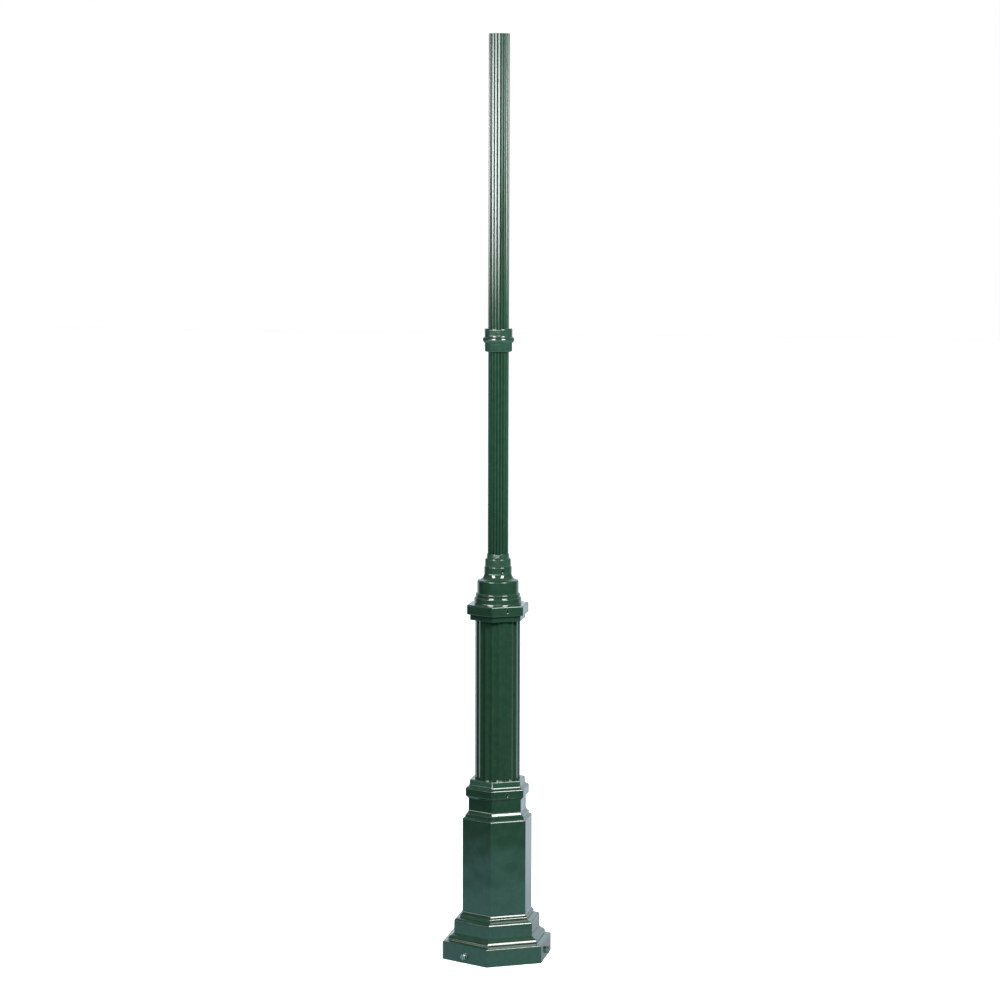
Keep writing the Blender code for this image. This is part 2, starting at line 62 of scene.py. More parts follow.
# Driving sizes, from the frame where it gives them
POST_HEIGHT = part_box("upper_tube")[1].z
FOOT_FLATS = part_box("base_casting")[1].x * 2
BASE_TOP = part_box("base_casting")[1].z
FLANGE_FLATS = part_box("reducer_casting")[1].x * 2
SKIRT_BOTTOM, REDUCER_TOP = (corner.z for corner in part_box("reducer_casting"))
COLUMN_BOTTOM, COLUMN_TOP = (corner.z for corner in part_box("lower_column"))
TUBE_BOTTOM, TUBE_JOINT = (corner.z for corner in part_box("lower_tube"))
COLLAR_LOW, COLLAR_HIGH = (corner.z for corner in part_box("joint_collar"))
JOINT_HEIGHT = (COLLAR_LOW + COLLAR_HIGH) / 2
SPIGOT_RADIUS = 30 * MM
COLUMN_RADIUS = 65.25 * MM

# Half widths of the base casting across its flats, and the heights of its mouldings
FOOT = FOOT_FLATS / 2
OVOLO = 131 * MM
STEP = 115.25 * MM
BEAD = 99.5 * MM
SHAFT = 93 * MM
SHOULDER = 86 * MM
NECK = 77.25 * MM
COLLAR = 85.25 * MM
RIM = 74 * MM
BASE_WALL = 7 * MM
OVOLO_ROUND = 13 * MM
FOOT_TOP = 53 * MM
STEP_BOTTOM = 76 * MM
STEP_TOP = 117 * MM
SHAFT_BOTTOM = 139 * MM
SHAFT_TOP = 411 * MM
NECK_BOTTOM = 439 * MM
NECK_TOP = 472 * MM
COLLAR_BOTTOM = 478 * MM
COLLAR_TOP = 504 * MM
CORNER_RADIUS = 2.5 * MM

# Radii of the reducer casting, and the heights of its parts
FLANGE = FLANGE_FLATS / 2
SKIRT = 74 * MM
RING = 68.7 * MM
STEP_RING = 64.8 * MM
DRUM = 60.2 * MM
NOSE = 40 * MM
NOSE_BAND = 37.5 * MM
NOSE_TIP = 32.3 * MM
FLANGE_BOTTOM = 1011.5 * MM
FLANGE_TOP = 1040 * MM
RING_TOP = 1059 * MM
STEP_RING_TOP = 1071 * MM
DRUM_TOP = 1109 * MM
NOSE_BOTTOM = 1129 * MM
NOSE_TOP = 1149.5 * MM
NOSE_BAND_TOP = 1172 * MM

# Sockets, bores and flutes
SOCKET_CLEARANCE = 0.5 * MM
COLUMN_SEAT = 52 * MM
TUBE_SEAT = 22 * MM
SEAT_THICKNESS = 9 * MM
COLUMN_BORE = 58 * MM
TUBE_BORE = 24 * MM
COLUMN_FLUTES = 20
COLUMN_FLUTE_DEPTH = 2.2 * MM
COLUMN_LAND = 1.4 * MM
COLUMN_TURN = radians(13.2)
TUBE_FLUTES = 20
TUBE_FLUTE_DEPTH = 4 * MM
TUBE_LAND = 4.8 * MM
TUBE_TURN = radians(10.2)
HOLLOW = 2.0  # bow of a flute's section: 2 is a hollow, 1 is a V
GROOVE = 1.0
LAND_EDGE = 0.3 * MM
LAND_DROP = 0.12 * MM

# Joint collar
JOINT_BAND = 40.1 * MM
JOINT_BEAD = 46.1 * MM
JOINT_BEAD_HALF = 9.5 * MM

# Screws and bolts
SET_SCREW_ANGLES = (radians(30), radians(150), radians(270))
FOOT_BOLT_ANGLES = (radians(-30), radians(90), radians(210))
BACK_ANGLE = radians(150)
SCREW_RADIUS = 4 * MM
SCREW_SOCKET = 2.3 * MM
SMALL_SCREW_RADIUS = 3 * MM
SMALL_SCREW_SOCKET = 1.7 * MM
SCREW_RECESS = 1 * MM
MOUTH_DEPTH = 0.8 * MM
MOUTH_SPREAD = 2.2
BASE_SCREW_HEIGHT = 489.5 * MM
FLANGE_SCREW_HEIGHT = 1025.5 * MM
NOSE_SCREW_HEIGHT = 1138.5 * MM
COLLAR_SCREW_HEIGHT = JOINT_HEIGHT - 22 * MM
JOINT_SCREW_OFFSET = 18 * MM
JOINT_HEAD_DEPTH = 2.1 * MM
JOINT_HEAD_RADIUS = 5 * MM
JOINT_SCREW_RADIUS = 2.5 * MM
FOOT_BOLT_HEIGHT = 20.5 * MM
BOLT_RADIUS = 5 * MM
BOLT_LENGTH = 30 * MM
BOLT_HEAD = 6.4 * MM
BOLT_FLAT = 8.5 * MM
WASHER_RADIUS = 10 * MM
WASHER_THICKNESS = 2 * MM

# Fineness of the meshes
CORNER_STEPS = 6
ROUNDING_STEPS = 6
ROUND_STEPS = 96
HOLE_STEPS = 32
HEXAGON_STEPS = 48
FLUTE_STEPS = 12


# Materials. Noise scales are in cycles a metre

DEEP_GREEN = (0.018, 0.056, 0.032)
PALE_GREEN = (0.024, 0.068, 0.040)
GLOSS = (0.04, 0.08)
METAL_WAVES = 10
ORANGE_PEEL = 420
ZINC_CRYSTALS = 130


def shader_of(name):
    made = bpy.data.materials.new(name)
    made.use_nodes = True
    return made, made.node_tree, made.node_tree.nodes["Principled BSDF"]


def noise(tree, scale, detail=2.0):
    """A noise pattern fixed to the object."""
    place = tree.nodes.new("ShaderNodeTexCoord")
    made = tree.nodes.new("ShaderNodeTexNoise")
    made.inputs["Scale"].default_value = scale
    made.inputs["Detail"].default_value = detail
    tree.links.new(place.outputs["Object"], made.inputs["Vector"])
    return made.outputs["Fac"]


def ranged(tree, value, low, high, start=0.3, end=0.7):
    """A value between start and end spread over low to high."""
    made = tree.nodes.new("ShaderNodeMapRange")
    made.inputs["From Min"].default_value = start
    made.inputs["From Max"].default_value = end
    made.inputs["To Min"].default_value = low
    made.inputs["To Max"].default_value = high
    tree.links.new(value, made.inputs["Value"])
    return made.outputs["Result"]


def blended(tree, factor, first, second):
    made = tree.nodes.new("ShaderNodeMix")
    made.data_type = "RGBA"
    made.inputs["A"].default_value = (*first, 1)
    made.inputs["B"].default_value = (*second, 1)
    tree.links.new(factor, made.inputs["Factor"])
    return made.outputs["Result"]


def bumped(tree, shader, layers):
    """Stacks bump layers of (height, depth in metres) on a shader's normal."""
    normal = None
    for height, depth in layers:
        made = tree.nodes.new("ShaderNodeBump")
        made.inputs["Distance"].default_value = depth
        tree.links.new(height, made.inputs["Height"])
        if normal:
            tree.links.new(normal, made.inputs["Normal"])
        normal = made.outputs["Normal"]
    tree.links.new(normal, shader.inputs["Normal"])


def green_paint(name, peel, waviness):
    """Gloss dark green powder coat: orange peel, slow waves of the metal under it and faint mottling."""
    made, tree, shader = shader_of(name)
    mottle = ranged(tree, noise(tree, 60, 3), 0, 1)
    tree.links.new(blended(tree, mottle, DEEP_GREEN, PALE_GREEN), shader.inputs["Base Color"])
    tree.links.new(ranged(tree, noise(tree, 140), *GLOSS), shader.inputs["Roughness"])
    shader.inputs["IOR"].default_value = 1.5
    bumped(tree, shader, [(noise(tree, METAL_WAVES, 1), waviness), (noise(tree, ORANGE_PEEL), peel)])
    return made


def galvanised_steel():
    """Hot-dip zinc: dull grey crystals a few millimetres across."""
    made, tree, shader = shader_of("galvanised_steel")
    place = tree.nodes.new("ShaderNodeTexCoord")
    crystals = tree.nodes.new("ShaderNodeTexVoronoi")
    crystals.inputs["Scale"].default_value = ZINC_CRYSTALS
    tree.links.new(place.outputs["Object"], crystals.inputs["Vector"])
    shade = tree.nodes.new("ShaderNodeSeparateColor")
    tree.links.new(crystals.outputs["Color"], shade.inputs["Color"])
    tone = ranged(tree, shade.outputs["Red"], 0, 1, 0, 1)
    tree.links.new(blended(tree, tone, (0.36, 0.38, 0.4), (0.56, 0.58, 0.6)), shader.inputs["Base Color"])
    rough = ranged(tree, shade.outputs["Green"], 0.38, 0.6, 0, 1)
    tree.links.new(rough, shader.inputs["Roughness"])
    shader.inputs["Metallic"].default_value = 1
    bumped(tree, shader, [(noise(tree, 300), 0.05 * MM)])
    return made


def bare_metal(name, dark, light, roughness, grain):
    """Machined metal with faint streaks and a spread of roughness."""
    made, tree, shader = shader_of(name)
    tone = ranged(tree, noise(tree, grain, 4), 0, 1)
    tree.links.new(blended(tree, tone, dark, light), shader.inputs["Base Color"])
    rough = ranged(tree, noise(tree, grain * 2), roughness - 0.06, roughness + 0.08)
    tree.links.new(rough, shader.inputs["Roughness"])
    shader.inputs["Metallic"].default_value = 1
    bumped(tree, shader, [(noise(tree, grain * 3), 0.02 * MM)])
    return made


CAST_PAINT = green_paint("green_paint_on_casting", 0.02 * MM, 0.6 * MM)
SMOOTH_PAINT = green_paint("green_paint_on_extrusion", 0.002 * MM, 0.03 * MM)
BOLT_STEEL = bare_metal("weathered_bolt_steel", (0.09, 0.12, 0.11), (0.17, 0.21, 0.20), 0.3, 300)
GALVANISED = galvanised_steel()
SCREW_STEEL = bare_metal("dark_screw_steel", (0.012, 0.013, 0.013), (0.03, 0.032, 0.03), 0.4, 500)
STAINLESS = bare_metal("stainless_steel", (0.5, 0.51, 0.52), (0.62, 0.63, 0.64), 0.3, 400)
BARE_ALUMINIUM = bare_metal("bare_aluminium", (0.62, 0.63, 0.64), (0.76, 0.77, 0.78), 0.42, 90)
BRASS = bare_metal("brass", (0.62, 0.43, 0.14), (0.78, 0.58, 0.24), 0.28, 300)


# Profiles, as points of (distance, height)


def arc(centre, radius, start, end, steps):
    """Points of a circular arc, with its angles in degrees."""
    angles = [radians(start + (end - start) * i / steps) for i in range(steps + 1)]
    return [(centre[0] + radius * cos(a), centre[1] + radius * sin(a)) for a in angles]


def rounded(corner, radius, outward_start):
    """A quarter-round outer corner of a profile read downwards: 90 rounds a top edge, 0 a bottom one."""
    inward = corner[0] - radius
    level = corner[1] - radius if outward_start == 90 else corner[1] + radius
    return arc((inward, level), radius, outward_start, outward_start - 90, ROUNDING_STEPS)


def cove(outer, inner, steps=8):
    """A hollow quarter ellipse that leaves the inner, upper point downwards and ends level."""
    points = []
    for i in range(steps + 1):
        angle = pi / 2 * i / steps
        across = outer[0] - (outer[0] - inner[0]) * cos(angle)
        points.append((across, inner[1] - (inner[1] - outer[1]) * sin(angle)))
    return points


# Rings, as points of a closed outline at one height


def round_ring(radius, height, steps=ROUND_STEPS):
    angles = [FULL_TURN * i / steps for i in range(steps)]
    return [(radius * cos(a), radius * sin(a), height) for a in angles]


def hexagon_ring(flat, height):
    """A hexagon with rounded corners, one of them at the front, and this distance to its flats."""
    reach = (flat - CORNER_RADIUS) / cos(HALF_PITCH)
    points = []
    for corner in range(6):
        middle = -pi / 2 + 2 * HALF_PITCH * corner
        for step in range(CORNER_STEPS + 1):
            angle = middle + HALF_PITCH * (2 * step / CORNER_STEPS - 1)
            across = reach * cos(middle) + CORNER_RADIUS * cos(angle)
            along = reach * sin(middle) + CORNER_RADIUS * sin(angle)
            points.append((across, along, height))
    return points


def nut_radius(flat, angle):
    """Distance from the axis to a plain hexagon's outline at this angle."""
    off_flat = (angle % (2 * HALF_PITCH)) - HALF_PITCH
    return flat / cos(off_flat)


def nut_ring(flat, height, chamfer_from=None):
    """A plain hexagon, dropped beyond the radius chamfer_from as a 30 degree cone would cut it."""
    points = []
    for i in range(HEXAGON_STEPS):
        angle = FULL_TURN * i / HEXAGON_STEPS
        radius = nut_radius(flat, angle)
        drop = (radius - chamfer_from) * tan(HALF_PITCH) if chamfer_from else 0
        points.append((radius * cos(angle), radius * sin(angle), height - drop))
    return points


def fluted_radii(radius, depth, land, bow, count, turn):
    """(angle, distance) round a ring of flutes between flat lands. A bow of 1 is a V and 2 is hollow."""
    pitch = FULL_TURN / count
    half_flute = pitch / 2 - land / radius / 2
    points = []
    for flute in range(count):
        middle = turn - pi / 2 + pitch * (flute + 0.5)
        softened = half_flute + LAND_EDGE / radius
        points.append((middle - softened, radius))
        for step in range(FLUTE_STEPS + 1):
            across = 2 * step / FLUTE_STEPS - 1
            cut = LAND_DROP + (depth - LAND_DROP) * (1 - abs(across) ** bow)
            points.append((middle + half_flute * across, radius - cut))
        points.append((middle + softened, radius))
    return points


# Meshes


def mesh_piece(name, vertices, faces, paint):
    mesh = bpy.data.meshes.new(name)
    mesh.from_pydata(vertices, [], faces)
    shape = bmesh.new()
    shape.from_mesh(mesh)
    bmesh.ops.recalc_face_normals(shape, faces=shape.faces)
    shape.to_mesh(mesh)
    shape.free()
    mesh.materials.append(paint)
    made = bpy.data.objects.new(name, mesh)
    bpy.context.scene.collection.objects.link(made)
    return made


def lofted(name, rings, paint=CAST_PAINT, capped=False, matrix=None):
    """A skin over rings of equal count: capped at both ends, or joined from the last to the first."""
    count = len(rings[0])
    vertices = [Vector(point) for ring in rings for point in ring]
    if matrix:
        vertices = [matrix @ vertex for vertex in vertices]
    faces = []
    for level in range(len(rings) - 1 if capped else len(rings)):
        low = level * count
        high = (level + 1) % len(rings) * count
        for i in range(count):
            j = (i + 1) % count
            faces.append((low + i, low + j, high + j, high + i))
    if capped:
        faces.append(tuple(range(count)))
        faces.append(tuple(range((len(rings) - 1) * count, len(rings) * count)))
    return mesh_piece(name, vertices, faces, paint)


def turned(name, profile, paint=CAST_PAINT, capped=False, matrix=None, steps=ROUND_STEPS):
    return lofted(name, [round_ring(r, z, steps) for r, z in profile], paint, capped, matrix)


def hexagonal(name, profile):
    return lofted(name, [hexagon_ring(flat, z) for flat, z in profile])


def carve(target, cutters, operation="DIFFERENCE"):
    """Cuts or joins the cutters into a piece, and removes them."""
    for cutter in cutters:
        boolean = target.modifiers.new("carve", "BOOLEAN")
        boolean.operation = operation
        boolean.object = cutter
    graph = bpy.context.evaluated_depsgraph_get()
    mesh = bpy.data.meshes.new_from_object(target.evaluated_get(graph))
    target.modifiers.clear()
    target.data = mesh
    for cutter in cutters:
        bpy.data.objects.remove(cutter)


def smooth(piece, angle=20):
    """Smooth shading that keeps sharp edges and leaves large faces flat."""
    piece.data.shade_smooth()
    piece.data.set_sharp_from_angle(angle=radians(angle))
    weighted = piece.modifiers.new("weighted_normals", "WEIGHTED_NORMAL")
    weighted.keep_sharp = True
    return piece


def install(piece, node):
    """Makes a piece ride on the post in place of its CAD node."""
    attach(piece, "root")
    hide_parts(node)


def facing(angle, height):
    """The frame of a screw driven towards the axis: its +Z points outwards at this angle."""
    return (
        Matrix.Translation((0, 0, height))
        @ Matrix.Rotation(angle - pi / 2, 4, "Z")
        @ Matrix.Rotation(pi / 2, 4, "Y")
    )


def tap(angle, height, screw, low, mouth):
    """A cutter for a screw's tapped hole, with a wide countersunk mouth this far from the axis."""
    reach = 2 * MM
    hole = screw + GAP
    profile = [
        (hole, low),
        (hole, mouth - MOUTH_DEPTH),
        (hole + MOUTH_SPREAD * (MOUTH_DEPTH + reach), mouth + reach),
    ]
    return turned("tap", profile, capped=True, matrix=facing(angle, height), steps=HOLE_STEPS)


# Pieces


def base_casting():
    outer = [
        *rounded((RIM, BASE_TOP), 2 * MM, 90),
        *cove((RIM + 6 * MM, COLLAR_TOP + 1.5 * MM), (RIM + 1 * MM, COLLAR_TOP + 7 * MM)),
        *rounded((COLLAR, COLLAR_TOP), 4 * MM, 90),
        *rounded((COLLAR, COLLAR_BOTTOM), 2 * MM, 0),
        (NECK, NECK_TOP),
        *cove((SHOULDER, NECK_BOTTOM - 15 * MM), (NECK, NECK_BOTTOM)),
        (SHOULDER, SHAFT_TOP + 6 * MM),
        *rounded((SHAFT, SHAFT_TOP + 4 * MM), 4 * MM, 90),
        *cove((BEAD - 3 * MM, SHAFT_BOTTOM - 8 * MM), (SHAFT, SHAFT_BOTTOM)),
        *rounded((BEAD, SHAFT_BOTTOM - 9 * MM), 4 * MM, 90),
        (BEAD, STEP_TOP + 3 * MM),
        *rounded((STEP, STEP_TOP + 1 * MM), 7 * MM, 90),
        (STEP, STEP_BOTTOM),
        (OVOLO - OVOLO_ROUND, STEP_BOTTOM - 2 * MM),
        *arc((OVOLO - OVOLO_ROUND, FOOT_TOP + 5 * MM), OVOLO_ROUND, 80, 0, 8),
        (OVOLO, FOOT_TOP + 2 * MM),
        *rounded((FOOT, FOOT_TOP), 3 * MM, 90),
        *rounded((FOOT, 0), 1 * MM, 0),
    ]
    inner = [
        (FOOT - BASE_WALL, 0),
        (FOOT - BASE_WALL, FOOT_TOP - BASE_WALL),
        (OVOLO - BASE_WALL, FOOT_TOP - 3 * MM),
        (STEP - BASE_WALL, STEP_BOTTOM - 5 * MM),
        (STEP - BASE_WALL, STEP_TOP - BASE_WALL),
        (SHAFT - BASE_WALL, SHAFT_BOTTOM - 15 * MM),
        (SHAFT - BASE_WALL, COLUMN_BOTTOM - SEAT_THICKNESS - 8 * MM),
        (COLUMN_SEAT, COLUMN_BOTTOM - SEAT_THICKNESS),
        (COLUMN_SEAT, BASE_TOP),
    ]
    casting = hexagonal("base_moulding", outer + inner)
    socket = COLUMN_RADIUS + SOCKET_CLEARANCE
    seat = COLUMN_BOTTOM - GAP
    cutters = [turned("socket", [(socket, seat), (socket, BASE_TOP + SEAT_THICKNESS)], capped=True)]
    for angle in SET_SCREW_ANGLES:
        cutters.append(tap(angle, BASE_SCREW_HEIGHT, SCREW_RADIUS, COLUMN_SEAT, COLLAR))
    hole = BOLT_RADIUS + GAP
    profile = [(hole, FOOT - 2 * BASE_WALL), (hole, FOOT + BASE_WALL)]
    for angle in FOOT_BOLT_ANGLES:
        matrix = facing(angle, FOOT_BOLT_HEIGHT)
        cutters.append(turned("hole", profile, capped=True, matrix=matrix, steps=HOLE_STEPS))
    carve(casting, cutters)
    install(smooth(casting), "base_casting")


def fluted_skin(name, outline, bore, low, high, holes=()):
    """An extrusion with softened ends. Its bore has the outline's angles."""
    edge = 0.4 * MM

    def ring(inset, height):
        return [((r - inset) * cos(a), (r - inset) * sin(a), height) for a, r in outline]

    def bored(radius, height):
        return [(radius * cos(a), radius * sin(a), height) for a, _ in outline]

    rings = [
        ring(edge, high),
        ring(0, high - edge),
        ring(0, low + edge),
        ring(edge, low),
        bored(bore + edge, low),
        bored(bore, low + edge),
        bored(bore, high - edge),
        bored(bore + edge, high),
    ]
    skin = lofted(name, rings, SMOOTH_PAINT)
    if holes:
        carve(skin, list(holes))
    return smooth(skin, 30)


def lower_column():
    outline = fluted_radii(
        COLUMN_RADIUS, COLUMN_FLUTE_DEPTH, COLUMN_LAND, HOLLOW, COLUMN_FLUTES, COLUMN_TURN
    )
    skin = fluted_skin("column_extrusion", outline, COLUMN_BORE, COLUMN_BOTTOM, COLUMN_TOP)
    install(skin, "lower_column")


def reducer_casting():
    core = TUBE_SEAT / 2
    foot = [
        *rounded((FLANGE, FLANGE_TOP), 3 * MM, 90),
        *rounded((FLANGE, FLANGE_BOTTOM), 1.5 * MM, 0),
        (SKIRT + 0.4 * MM, FLANGE_BOTTOM - 0.6 * MM),
        (SKIRT, FLANGE_BOTTOM - 1.5 * MM),
        *rounded((SKIRT, SKIRT_BOTTOM), 1.2 * MM, 0),
        (core, SKIRT_BOTTOM),
        (core, FLANGE_TOP),
    ]
    casting = hexagonal("reducer_moulding", foot)
    body = [
        *rounded((NOSE_TIP, REDUCER_TOP), 1.2 * MM, 90),
        (NOSE_TIP + 0.4 * MM, NOSE_BAND_TOP + 2 * MM),
        *rounded((NOSE_BAND, NOSE_BAND_TOP), 2.5 * MM, 90),
        (NOSE_BAND + 0.5 * MM, NOSE_TOP + 3 * MM),
        *rounded((NOSE, NOSE_TOP), 3 * MM, 90),
        *cove((DRUM - 4 * MM, DRUM_TOP + 1 * MM), (NOSE, NOSE_BOTTOM)),
        *rounded((DRUM, DRUM_TOP), 3 * MM, 90),
        (DRUM, STEP_RING_TOP + 2 * MM),
        *rounded((STEP_RING, STEP_RING_TOP), 3 * MM, 90),
        (STEP_RING, RING_TOP + 2 * MM),
        *rounded((RING, RING_TOP), 3 * MM, 90),
        *cove((RING + 2 * MM, FLANGE_TOP - 0.5 * MM), (RING, FLANGE_TOP + 4 * MM), 4),
        (RING + 2 * MM, FLANGE_TOP - 1 * MM),
        (core, FLANGE_TOP - 1 * MM),
        (core, REDUCER_TOP),
    ]
    carve(casting, [turned("body", body)], "UNION")
    tube_socket = SPIGOT_RADIUS + SOCKET_CLEARANCE
    column_socket = COLUMN_RADIUS + SOCKET_CLEARANCE
    tube_seat = TUBE_BOTTOM - GAP
    column_seat = COLUMN_TOP + GAP
    passage = [
        (tube_socket, REDUCER_TOP + SEAT_THICKNESS),
        (tube_socket, tube_seat),
        (TUBE_SEAT, tube_seat),
        (TUBE_SEAT, tube_seat - SEAT_THICKNESS),
        (COLUMN_SEAT, column_seat + SEAT_THICKNESS),
        (COLUMN_SEAT, column_seat),
        (column_socket, column_seat),
        (column_socket, SKIRT_BOTTOM - SEAT_THICKNESS),
    ]
    cutters = [turned("passage", passage, capped=True)]
    for angle in SET_SCREW_ANGLES:
        cutters.append(tap(angle, FLANGE_SCREW_HEIGHT, SCREW_RADIUS, COLUMN_SEAT, FLANGE))
        cutters.append(tap(angle, NOSE_SCREW_HEIGHT, SCREW_RADIUS, TUBE_SEAT, NOSE))
    carve(casting, cutters)
    install(smooth(casting), "reducer_casting")


def countersink(height):
    """A cutter for a joint screw's hole and countersink in a tube."""
    top = SPIGOT_RADIUS - JOINT_HEAD_DEPTH
    head = JOINT_HEAD_RADIUS + GAP
    shank = JOINT_SCREW_RADIUS + GAP
    profile = [
        (head, top + 5 * MM),
        (head, top - GAP),
        (shank, top - 2.7 * MM),
        (shank, TUBE_BORE - 6 * MM),
    ]
    matrix = facing(BACK_ANGLE, height)
    return turned("countersink", profile, capped=True, matrix=matrix, steps=HOLE_STEPS)


def tubes():
    outline = fluted_radii(
        SPIGOT_RADIUS, TUBE_FLUTE_DEPTH, TUBE_LAND, GROOVE, TUBE_FLUTES, TUBE_TURN
    )
    middle = TUBE_JOINT + GAP
    hole = countersink(middle - JOINT_SCREW_OFFSET)
    lower = fluted_skin("lower_tube_extrusion", outline, TUBE_BORE, TUBE_BOTTOM, TUBE_JOINT, [hole])
    install(lower, "lower_tube")
    hole = countersink(middle + JOINT_SCREW_OFFSET)
    upper = fluted_skin("upper_tube_extrusion", outline, TUBE_BORE, middle + GAP, POST_HEIGHT, [hole])
    install(upper, "upper_tube")


def joint_collar():
    """A ring with a half-round bead. The two points near its top keep the shading of its band flat."""
    bore = SPIGOT_RADIUS + GAP
    bead_height = JOINT_HEIGHT + 1 * MM
    fillet = (JOINT_BAND + 1.8 * MM, bead_height + 8.2 * MM)
    profile = [
        *rounded((JOINT_BAND, COLLAR_HIGH), 3 * MM, 90),
        (JOINT_BAND, COLLAR_HIGH - 4 * MM),
        (JOINT_BAND, bead_height + 13 * MM),
        *cove(fillet, (JOINT_BAND, bead_height + 12 * MM), 5)[:-1],
        *arc((JOINT_BEAD - JOINT_BEAD_HALF, bead_height), JOINT_BEAD_HALF, 55, -65, 14),
        (JOINT_BAND, bead_height - JOINT_BEAD_HALF),
        *rounded((JOINT_BAND, COLLAR_LOW), 4 * MM, 0),
        (bore, COLLAR_LOW),
        (bore, COLLAR_HIGH),
    ]
    collar = turned("joint_ring", profile, SMOOTH_PAINT)
    hole = tap(BACK_ANGLE, COLLAR_SCREW_HEIGHT, SMALL_SCREW_RADIUS, TUBE_BORE, JOINT_BAND)
    carve(collar, [hole])
    install(smooth(collar), "joint_collar")


def set_screw(node, angle, height, radius, socket, tip, face):
    """A headless screw with a flat tip, chamfered ends and a hexagon socket."""
    head = face - SCREW_RECESS
    edge = 0.5 * MM
    rings = [
        round_ring(radius - 2 * edge, tip, HEXAGON_STEPS),
        round_ring(radius, tip + 2 * edge, HEXAGON_STEPS),
        round_ring(radius, head - edge, HEXAGON_STEPS),
        round_ring(radius - edge, head, HEXAGON_STEPS),
        nut_ring(socket + edge / 2, head),
        nut_ring(socket, head - edge),
        nut_ring(socket, head - radius),
        round_ring(socket / 2, head - radius - socket / 3, HEXAGON_STEPS),
    ]
    name = node.replace("set_screw", "grub_screw")
    screw = lofted(name, rings, SCREW_STEEL, capped=True, matrix=facing(angle, height))
    install(smooth(screw), node)


def set_screws():
    column_tip = COLUMN_RADIUS + GAP
    tube_tip = SPIGOT_RADIUS + GAP
    sets = (
        ("base_set_screw", BASE_SCREW_HEIGHT, column_tip, COLLAR),
        ("flange_set_screw", FLANGE_SCREW_HEIGHT, column_tip, FLANGE),
        ("neck_set_screw", NOSE_SCREW_HEIGHT, tube_tip, NOSE),
    )
    for name, height, tip, face in sets:
        for number, angle in enumerate(SET_SCREW_ANGLES, 1):
            set_screw(f"{name}_{number}", angle, height, SCREW_RADIUS, SCREW_SOCKET, tip, face)
    sizes = (SMALL_SCREW_RADIUS, SMALL_SCREW_SOCKET, tube_tip + GAP, JOINT_BAND)
    set_screw("collar_set_screw", BACK_ANGLE, COLLAR_SCREW_HEIGHT, *sizes)


def foot_bolt(number, angle):
    """A hexagon-headed bolt with a chamfered head."""
    low = FOOT + WASHER_THICKNESS + 2 * GAP
    top = low + BOLT_HEAD
    tip = low - BOLT_LENGTH
    crown = 0.93 * BOLT_FLAT
    rings = [
        round_ring(BOLT_RADIUS - 0.8 * MM, tip, HEXAGON_STEPS),
        round_ring(BOLT_RADIUS, tip + 0.8 * MM, HEXAGON_STEPS),
        round_ring(BOLT_RADIUS, low, HEXAGON_STEPS),
        round_ring(BOLT_FLAT - 0.4 * MM, low, HEXAGON_STEPS),
        nut_ring(BOLT_FLAT - 0.1 * MM, low + 0.4 * MM),
        nut_ring(BOLT_FLAT, low + 0.8 * MM),
        nut_ring(BOLT_FLAT, top, chamfer_from=crown),
        round_ring(crown, top, HEXAGON_STEPS),
        round_ring(crown - 1.2 * MM, top - 0.15 * MM, HEXAGON_STEPS),
    ]
    name = f"foot_bolt_with_head_{number}"
    bolt = lofted(name, rings, BOLT_STEEL, capped=True, matrix=facing(angle, FOOT_BOLT_HEIGHT))
    install(smooth(bolt, 25), f"foot_bolt_{number}")


def foot_bolt_washer(number, angle):
    low = FOOT + GAP
    high = low + WASHER_THICKNESS
    bore = BOLT_RADIUS + GAP
    profile = [
        *rounded((WASHER_RADIUS, high), 0.5 * MM, 90),
        (WASHER_RADIUS, low),
        (bore, low),
        (bore, high),
    ]
    matrix = facing(angle, FOOT_BOLT_HEIGHT)
    washer = turned(f"foot_washer_{number}", profile, BOLT_STEEL, matrix=matrix, steps=HOLE_STEPS)
    install(smooth(washer), f"foot_bolt_washer_{number}")


def kept_nodes():
    """Gives the CAD nodes that stay their finishes."""
    finishes = {
        "foot_plate": GALVANISED,
        "joint_sleeve": BARE_ALUMINIUM,
        "joint_screw_lower": STAINLESS,
        "joint_screw_upper": STAINLESS,
        "earth_stud": BRASS,
        "earth_nut": BRASS,
        "earth_washer": BRASS,
        "earth_lock_nut": BRASS,
    }
    for number in range(1, len(FOOT_BOLT_ANGLES) + 1):
        finishes[f"foot_bolt_nut_{number}"] = GALVANISED
    for node, finish in finishes.items():
        for slot in frame["nodes"][node].material_slots:
            slot.material = finish


# Studio

# The camera, with its place in shares of the post's height
CAMERA_AZIMUTH = radians(10.22)
CAMERA_DISTANCE = 3.674 * POST_HEIGHT
CAMERA_HEIGHT = 0.8975 * POST_HEIGHT
CAMERA_SIDE = 0.002 * POST_HEIGHT
CAMERA_TILT = radians(6.167)
CAMERA_ROLL = radians(0.15)
CAMERA_LENS = 123.2
TO_CAMERA = Vector((sin(CAMERA_AZIMUTH), -cos(CAMERA_AZIMUTH), 0))
TO_RIGHT = Vector((cos(CAMERA_AZIMUTH), sin(CAMERA_AZIMUTH), 0))
UP = Vector((0, 0, 1))

# Two fill lights, as their azimuth and power. Azimuths count from the camera and grow to its right
FILL_SIZE = 0.8
FILL_DISTANCE = 4.0
FILL_ELEVATION = radians(30)
FILLS = {"left_fill": (radians(-36), 46), "right_fill": (radians(36), 172)}

